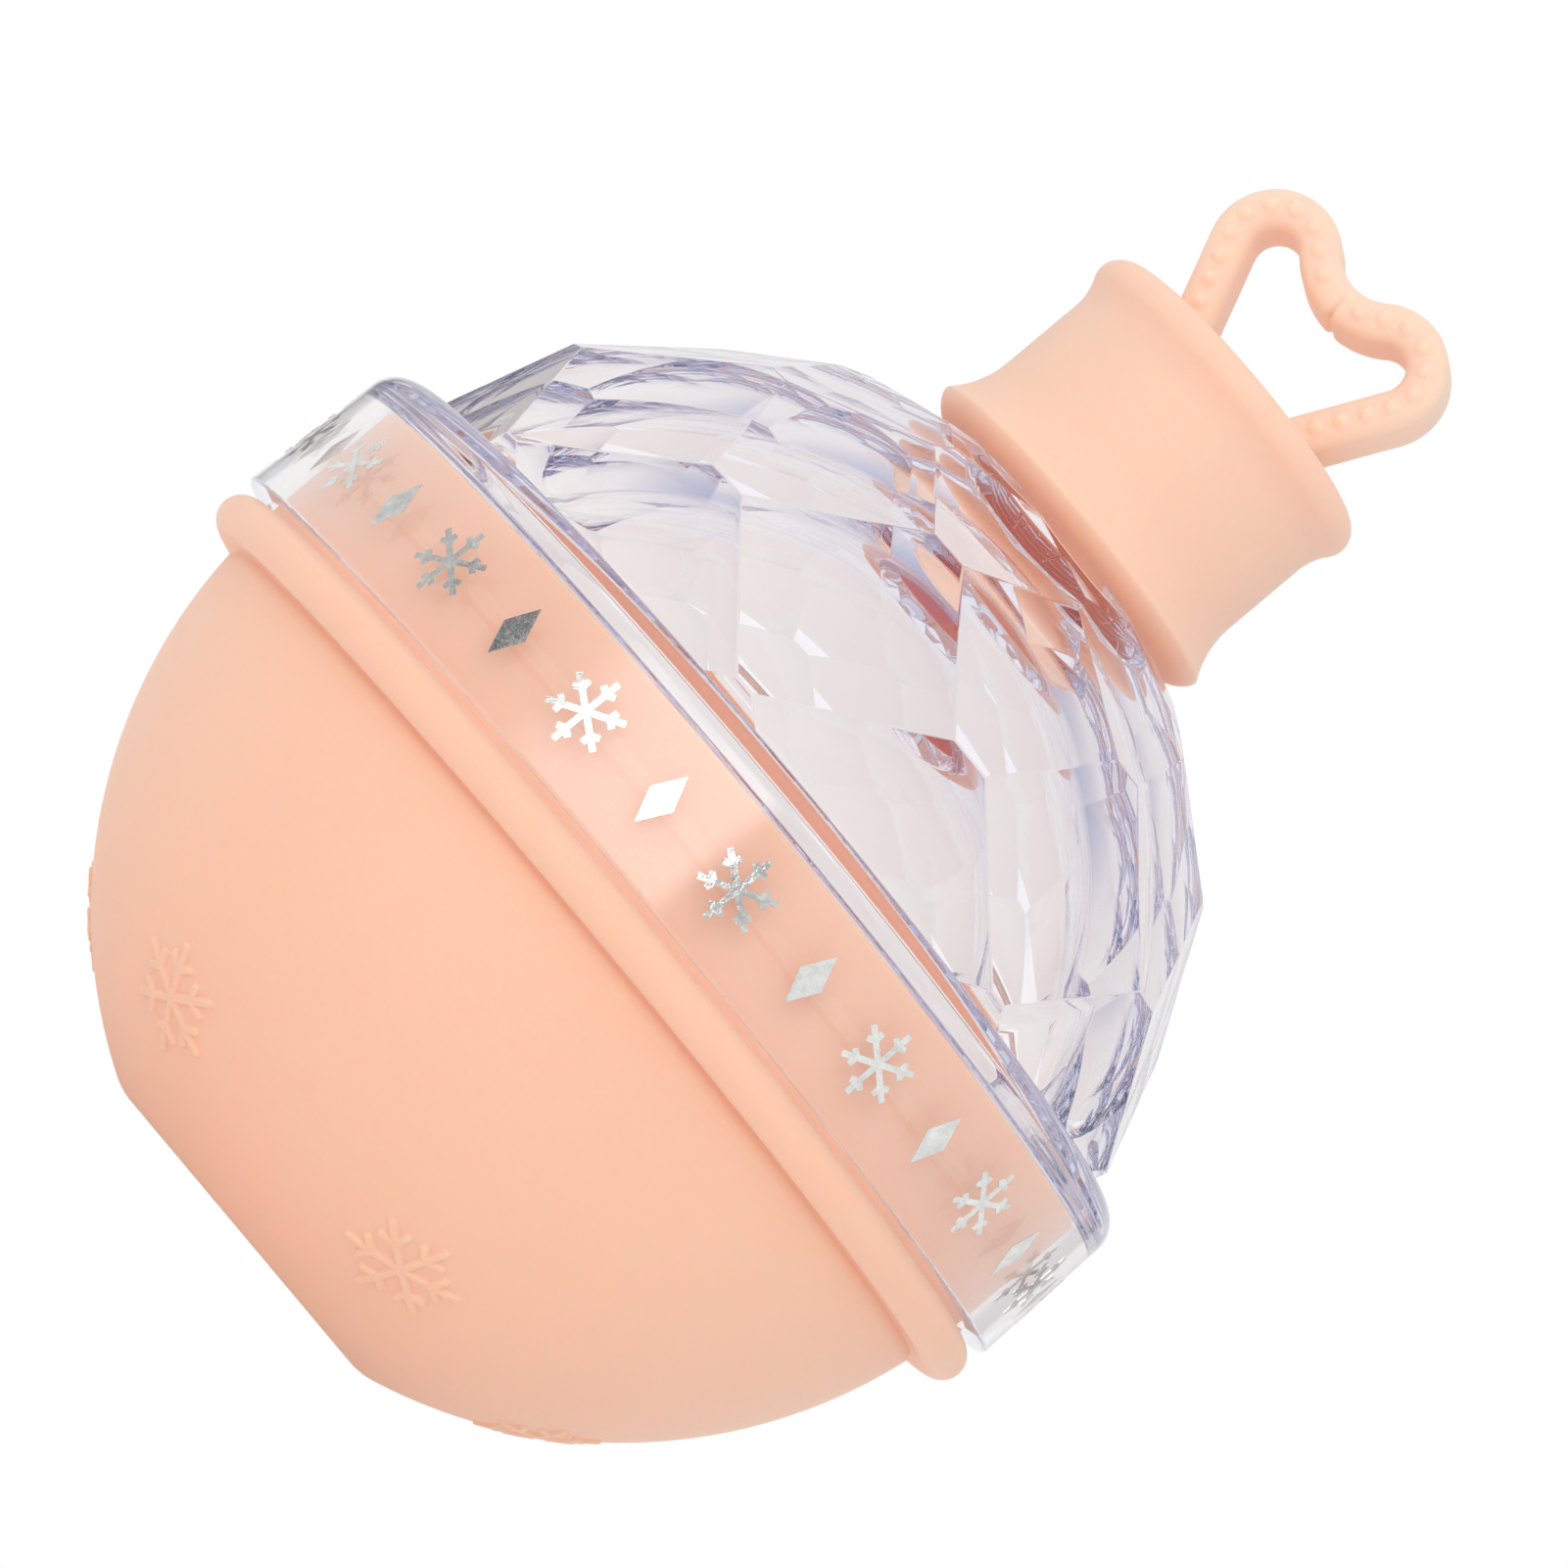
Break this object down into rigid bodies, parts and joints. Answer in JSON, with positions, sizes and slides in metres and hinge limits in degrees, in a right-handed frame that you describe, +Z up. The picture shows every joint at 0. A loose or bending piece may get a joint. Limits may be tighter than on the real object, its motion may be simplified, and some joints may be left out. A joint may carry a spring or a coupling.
{
  "type": "ice ball mold",
  "caption": "Ornament-shaped ice ball mold: soft bowl, clear faceted dome with a push-on band, and a soft neck cap with a heart pull loop.",
  "frame": {"origin": "middle of the flat foot under the bowl", "axes": "+Z up along the mold's axis, through the neck and cap; the heart loop faces -Y, its width along X"},
  "size_m": [0.0762, 0.0762, 0.1002],
  "materials": {
    "silicone": "matte",
    "clear_plastic": "polished"
  },
  "bodies": {
    "bowl": {"silicone_bowl": "silicone"},
    "dome": {"clear_dome": "clear_plastic"},
    "cap": {"neck_cap": "silicone", "heart_loop": "silicone"}
  },
  "joints": [
    {"name": "dome_lift", "type": "slide", "parent": "bowl", "child": "dome", "axis": [0, 0, 1], "range_m": [0, 0.04]},
    {"name": "cap_pull", "type": "slide", "parent": "dome", "child": "cap", "axis": [0, 0, 1], "range_m": [0, 0.03]}
  ]
}
